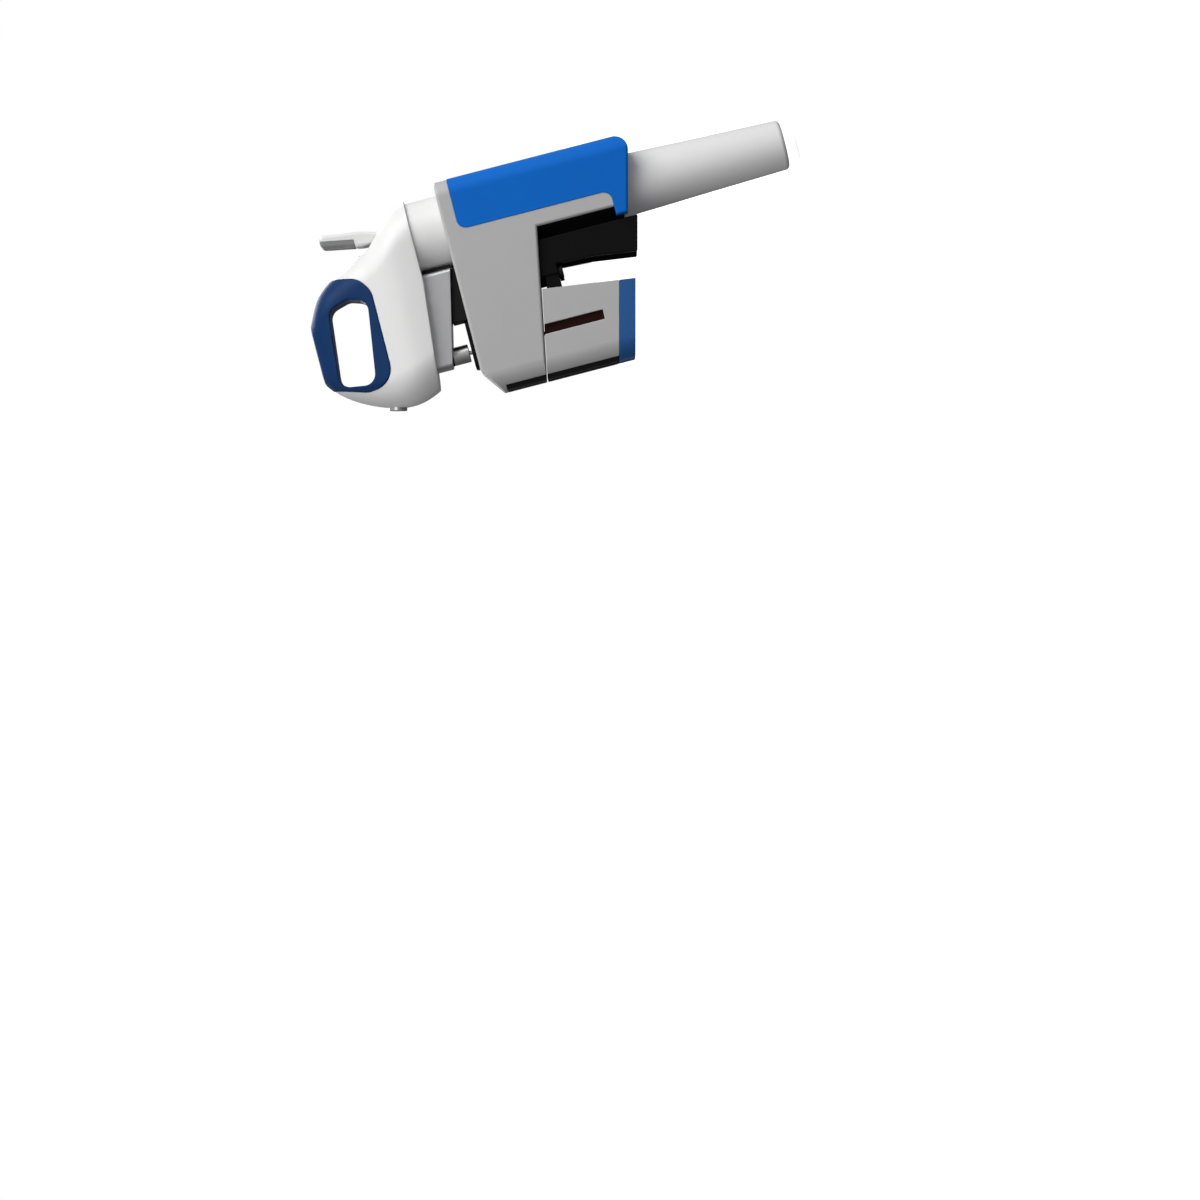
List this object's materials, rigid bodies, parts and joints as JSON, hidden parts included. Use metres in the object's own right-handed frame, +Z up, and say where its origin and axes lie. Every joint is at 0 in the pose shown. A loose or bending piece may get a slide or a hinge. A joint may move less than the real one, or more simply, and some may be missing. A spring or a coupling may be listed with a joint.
{
  "type": "needle wine opener",
  "caption": "Hand-held wine opener that clamps on a bottle neck, drives a hollow needle through the cork and pours under gas let in by a trigger from a capsule in a screw cup.",
  "frame": {"origin": "centre of the bottle-mouth seat, on the needle's axis", "axes": "+Z up along the needle away from the bottle, +X from the needle to the gas capsule, Y across"},
  "size_m": [0.0948, 0.0436, 0.22],
  "materials": {
    "shell_white": "satin moulded, slightly warm white",
    "frame_grey": "light silver-grey, satin",
    "grip_blue": "mid blue, soft satin",
    "loop_blue": "navy soft grip",
    "liner_blue": "navy soft grip",
    "body_black": "black, fine texture",
    "buffer_black": "black, matt",
    "pad_dark": "very dark brown rubber",
    "bush_pale": "natural acetal",
    "valve_silver": "bead-blasted",
    "trigger_grey": "dark grey, satin",
    "steel": "brushed",
    "pin_black": "black oxide",
    "spring_steel": "drawn wire",
    "brass": "turned",
    "aluminium": "turned",
    "tube_clear": "food-grade silicone"
  },
  "bodies": {
    "frame": {"frame_shell_left": "frame_grey", "frame_shell_right": "frame_grey", "nose_strip": "buffer_black", "grip_saddle": "grip_blue", "chassis": "body_black", "sleeve_bush_upper": "bush_pale", "sleeve_bush_lower": "bush_pale", "rod_bush": "brass", "frame_screws": "steel", "neck_socket": "body_black", "mouth_seal": "buffer_black", "needle_guide": "body_black", "head_buffer": "buffer_black", "clamp_pins": "pin_black", "clamp_spring_left": "spring_steel", "clamp_spring_right": "spring_steel"},
    "clamp_left": {"clamp_lever_left": "body_black", "clamp_jaw_left": "frame_grey", "jaw_liner_left": "liner_blue", "jaw_lip_left": "buffer_black", "neck_pad_left": "pad_dark"},
    "clamp_right": {"clamp_lever_right": "body_black", "clamp_jaw_right": "frame_grey", "jaw_liner_right": "liner_blue", "jaw_lip_right": "buffer_black", "neck_pad_right": "pad_dark"},
    "head": {"head_shell_left": "shell_white", "head_shell_right": "shell_white", "finger_loop": "loop_blue", "spout": "steel", "wine_tube": "tube_clear", "gas_tube": "brass", "head_screws": "steel", "valve_housing": "valve_silver", "needle": "steel", "needle_hub": "steel", "needle_seal": "buffer_black", "guide_rod": "steel", "rod_stop": "steel", "regulator_tube": "shell_white", "regulator_body": "brass", "regulator_adjuster": "brass", "regulator_spring": "spring_steel", "piercing_pin": "steel", "capsule_gasket": "buffer_black", "trigger_pin": "steel", "spool_spring": "spring_steel"},
    "piston": {"regulator_piston": "brass"},
    "capsule": {"gas_capsule": "steel"},
    "cup": {"capsule_cup": "shell_white", "cup_thread_ring": "aluminium", "cup_buffer": "buffer_black"},
    "trigger": {"trigger": "shell_white", "trigger_pad": "trigger_grey"},
    "spool": {"valve_spool": "steel", "spool_seals": "buffer_black"}
  },
  "joints": [
    {"name": "head_slide", "type": "slide", "parent": "frame", "child": "head", "axis": [0, 0, 1], "range_m": [0, 0.056]},
    {"name": "trigger_squeeze", "type": "hinge", "parent": "head", "child": "trigger", "pos_m": [0.0588, 0, 0.029], "axis": [0, -1, 0], "range_deg": [0, 8], "stiffness_Nm_per_rad": 0.3, "springref_deg": -5.73},
    {"name": "spool_travel", "type": "slide", "parent": "head", "child": "spool", "axis": [-1, 0, 0], "range_m": [0, 0.001], "deforming": ["spool_spring"]},
    {"name": "piston_float", "type": "slide", "parent": "head", "child": "piston", "axis": [0, 0, 1], "range_m": [0, 0.0012], "stiffness_N_per_m": 200, "springref_m": -0.002, "deforming": ["regulator_spring"]},
    {"name": "capsule_drop", "type": "slide", "parent": "head", "child": "capsule", "axis": [0, 0, -1], "range_m": [0, 0.0045]},
    {"name": "cup_turn", "type": "hinge", "parent": "capsule", "child": "cup", "pos_m": [0.0538, 0, -0.1], "axis": [0, 0, -1], "range_deg": [0, 1080]},
    {"name": "clamp_left_swing", "type": "hinge", "parent": "frame", "child": "clamp_left", "pos_m": [0.0245, -0.0115, -0.025], "axis": [0, 0, 1], "range_deg": [0, 10], "stiffness_Nm_per_rad": 0.5, "springref_deg": -11.46},
    {"name": "clamp_right_swing", "type": "hinge", "parent": "frame", "child": "clamp_right", "pos_m": [0.0245, 0.0115, -0.025], "axis": [0, 0, -1], "range_deg": [0, 10], "stiffness_Nm_per_rad": 0.5, "springref_deg": -11.46}
  ],
  "couplings": [
    {"joint": "spool_travel", "follows": "trigger_squeeze", "m_per_rad": 0.007},
    {"joint": "cup_turn", "follows": "capsule_drop", "rad_per_m": 4188.8}
  ]
}
